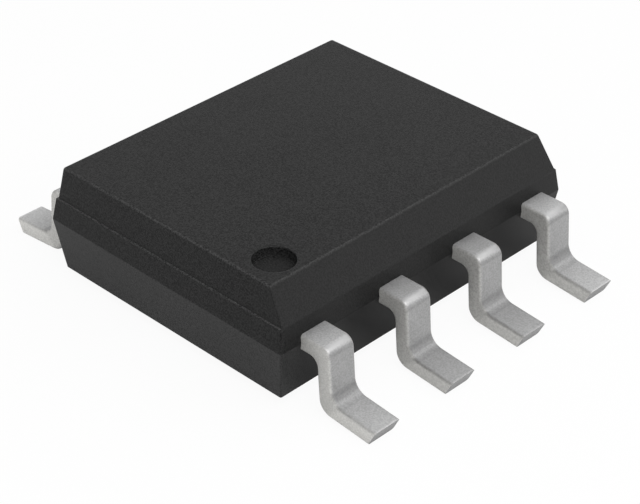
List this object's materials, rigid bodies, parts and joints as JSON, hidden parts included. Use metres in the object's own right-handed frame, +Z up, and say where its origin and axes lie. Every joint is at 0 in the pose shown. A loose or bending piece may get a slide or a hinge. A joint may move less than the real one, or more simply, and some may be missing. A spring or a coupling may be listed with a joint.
{
  "type": "operational amplifier in a small-outline package",
  "caption": "Surface-mount operational amplifier: flat rectangular dark plastic body with a bevelled edge and a round dimple, and a row of gull-wing leads along each long side.",
  "frame": {"origin": "on the board's surface under the middle of the package; the toes of the leads touch z = 0", "axes": "+Z up out of the board; +X across the package towards leads 1 to 4, the side with the bevel and the dimple; +Y along the body, from lead 1 to lead 4"},
  "size_m": [0.0062, 0.0048, 0.0016],
  "materials": {
    "moulding_compound": "matt, very fine mould grain",
    "tin_plated_leads": "matt tin plate over copper alloy, satin and faintly mottled",
    "copper_alloy": "bare rolled strip",
    "silver_adhesive": "cured silver-filled adhesive",
    "silicon": "polished silicon with metal bond pads",
    "gold_wire": "bright drawn wire"
  },
  "bodies": {
    "root": {"package_body": "moulding_compound", "lead_1": "tin_plated_leads", "lead_2": "tin_plated_leads", "lead_3": "tin_plated_leads", "lead_4": "tin_plated_leads", "lead_5": "tin_plated_leads", "lead_6": "tin_plated_leads", "lead_7": "tin_plated_leads", "lead_8": "tin_plated_leads", "die_pad": "copper_alloy", "die_attach": "silver_adhesive", "die": "silicon", "bond_wire_1": "gold_wire", "bond_wire_2": "gold_wire", "bond_wire_3": "gold_wire", "bond_wire_4": "gold_wire", "bond_wire_5": "gold_wire", "bond_wire_6": "gold_wire", "bond_wire_7": "gold_wire", "bond_wire_8": "gold_wire"}
  },
  "joints": []
}
